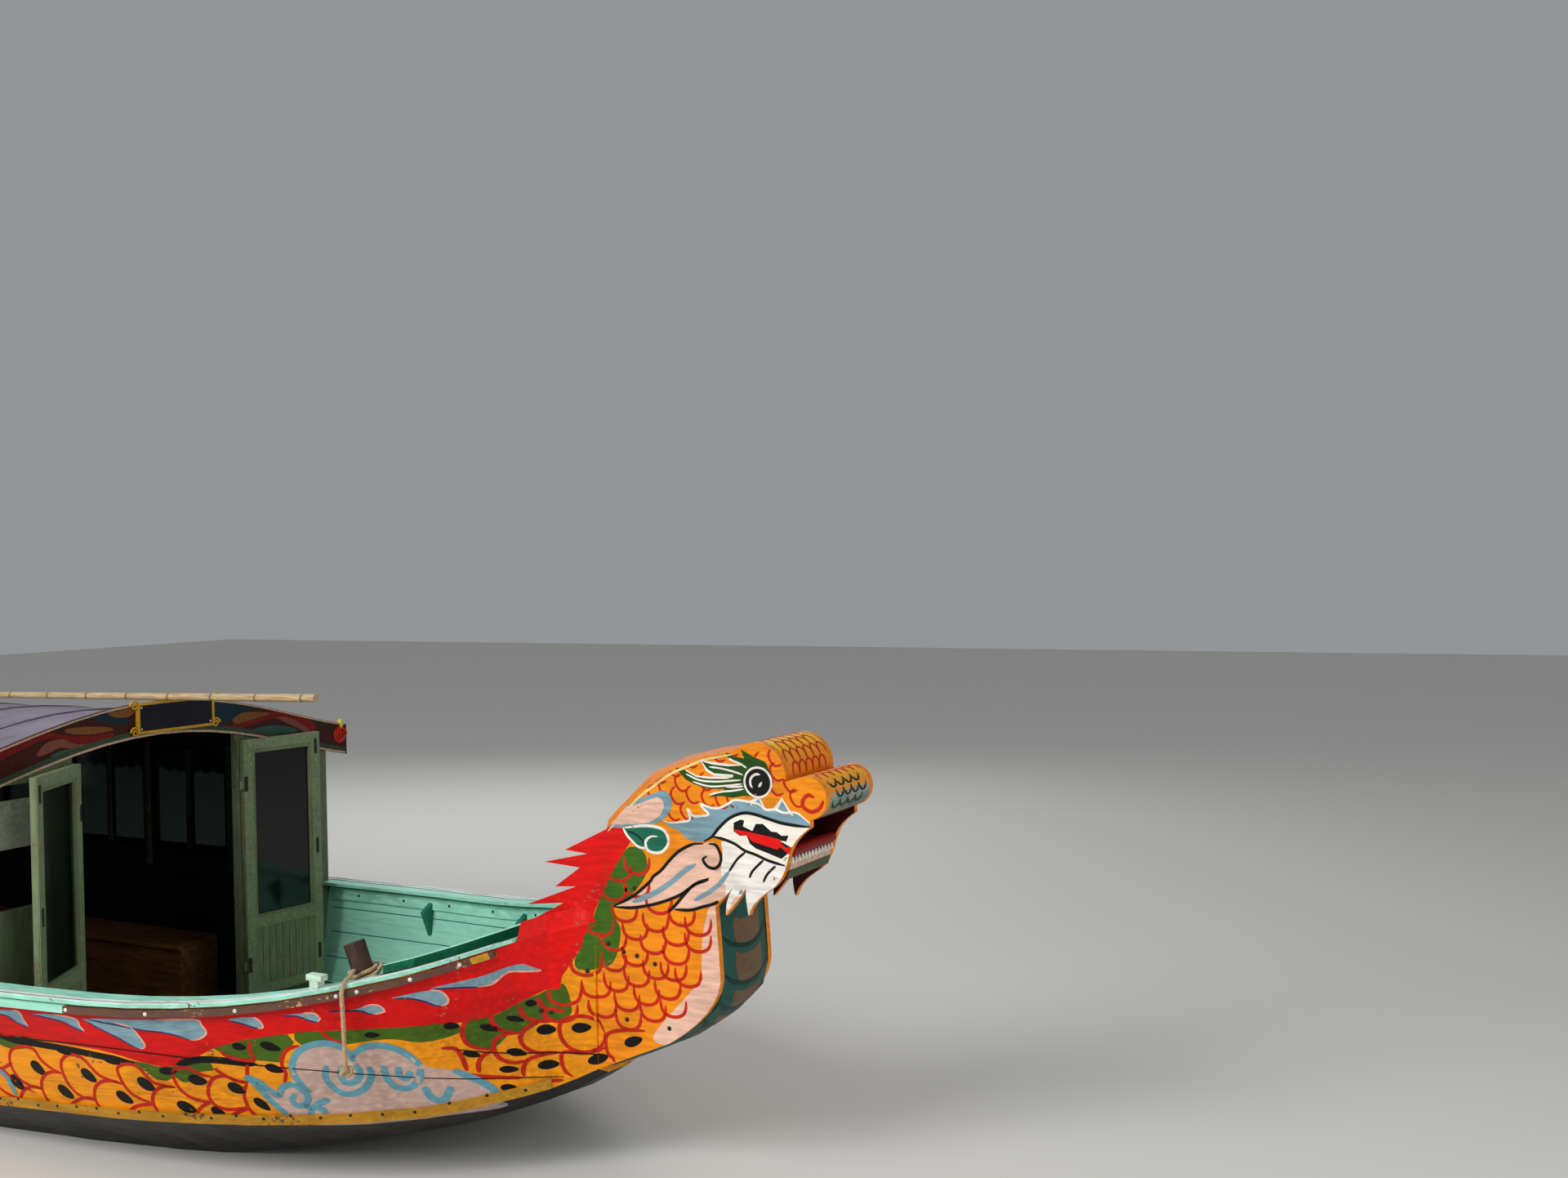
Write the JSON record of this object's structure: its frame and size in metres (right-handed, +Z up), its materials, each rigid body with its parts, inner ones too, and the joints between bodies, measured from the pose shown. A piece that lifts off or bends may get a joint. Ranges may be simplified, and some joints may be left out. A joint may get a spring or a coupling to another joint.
{
  "type": "dragon boat",
  "caption": "River passenger boat with a painted dragon's head bow, a long vaulted cabin, a taller aft house, a scrolled stern, a rudder and a propeller.",
  "frame": {"origin": "on the water plane, on the centreline, below the middle of the boat's length", "axes": "+X forward to the dragon's head, +Y to port, +Z up"},
  "size_m": [13.6028, 3, 3.5503],
  "materials": {
    "hull_paint": "orange gloss paint on planks",
    "bottom_paint": "black bottom paint on planks",
    "turquoise_paint": "pale turquoise paint on planks",
    "rail_paint": "worn brown paint on a rail",
    "chine_paint": "yellow paint on a batten",
    "sole_wood": "worn brown boards",
    "deck_paint": "turquoise deck paint",
    "post_wood": "dark oiled wood",
    "cleat_paint": "pale green paint",
    "dragon_paint": "orange gloss paint on boards",
    "belly_paint": "dark teal paint on planks",
    "dragon_red_paint": "red gloss paint on boards",
    "jaw_paint": "tan paint on boards",
    "wall_paint": "white paint on boards",
    "window_glass": "clear window glass",
    "door_paint": "weathered grey-green paint",
    "fascia_paint": "painted dark red board",
    "bench_wood": "varnished wood",
    "roof_paint": "grey paint on roof boards",
    "gutter_paint": "light blue paint",
    "house_roof_paint": "white paint on roof boards",
    "house_fascia_paint": "dark teal paint",
    "mast_paint": "blue paint on steel",
    "bamboo": "dry bamboo",
    "tail_paint": "blue paint on boards",
    "rudder_iron": "worn black paint on steel",
    "propeller_bronze": "dull bronze",
    "engine_paint": "grey engine paint"
  },
  "bodies": {
    "boat": {"hull_shell": "hull_paint", "keel": "bottom_paint", "gunwale_cap_port": "turquoise_paint", "gunwale_cap_starboard": "turquoise_paint", "rub_rail_port": "rail_paint", "rub_rail_starboard": "rail_paint", "chine_band_port": "chine_paint", "chine_band_starboard": "chine_paint", "cabin_sole": "sole_wood", "bow_deck": "deck_paint", "stern_deck": "deck_paint", "bow_coaming": "turquoise_paint", "bollard": "post_wood", "cleat": "cleat_paint", "head_side_port": "dragon_paint", "head_side_starboard": "dragon_paint", "nape": "dragon_paint", "belly": "belly_paint", "brow_roll": "dragon_paint", "nose_roll": "dragon_paint", "snout_top": "dragon_paint", "upper_jaw": "dragon_red_paint", "lower_jaw": "jaw_paint", "lip_roll": "dragon_red_paint", "cabin_side_port": "wall_paint", "cabin_side_starboard": "wall_paint", "cabin_glass_port": "window_glass", "cabin_glass_starboard": "window_glass", "front_frame": "door_paint", "front_fascia": "fascia_paint", "number_board": "bench_wood", "cabin_roof": "roof_paint", "eave_port": "gutter_paint", "eave_starboard": "gutter_paint", "bench_port": "bench_wood", "bench_starboard": "bench_wood", "house_side_port": "wall_paint", "house_side_starboard": "wall_paint", "house_glass_port": "window_glass", "house_glass_starboard": "window_glass", "house_roof": "house_roof_paint", "house_front": "wall_paint", "house_aft": "wall_paint", "house_fascia": "house_fascia_paint", "nav_mast": "mast_paint", "bamboo_pole": "bamboo", "tail_side_port": "tail_paint", "tail_side_starboard": "tail_paint", "tail_plank": "dragon_paint", "stern_rail": "gutter_paint", "engine_block": "engine_paint"},
    "door_port": {"door_port": "door_paint", "door_glass_port": "window_glass"},
    "door_starboard": {"door_starboard": "door_paint", "door_glass_starboard": "window_glass"},
    "rudder": {"rudder": "rudder_iron"},
    "propeller": {"propeller": "propeller_bronze"}
  },
  "joints": [
    {"name": "door_port_hinge", "type": "hinge", "parent": "boat", "child": "door_port", "pos_m": [2.327, 0.57, 1.07], "axis": [0, 0, 1], "range_deg": [-172, 6]},
    {"name": "door_starboard_hinge", "type": "hinge", "parent": "boat", "child": "door_starboard", "pos_m": [2.327, -0.57, 1.07], "axis": [0, 0, 1], "range_deg": [-28, 150]},
    {"name": "rudder_steer", "type": "hinge", "parent": "boat", "child": "rudder", "pos_m": [-6.05, 0, 0.9], "axis": [0, 0, 1], "range_deg": [-35, 35]},
    {"name": "propeller_spin", "type": "hinge", "parent": "boat", "child": "propeller", "pos_m": [-5.16, 0, -0.19], "axis": [1, 0, 0], "continuous": true}
  ]
}
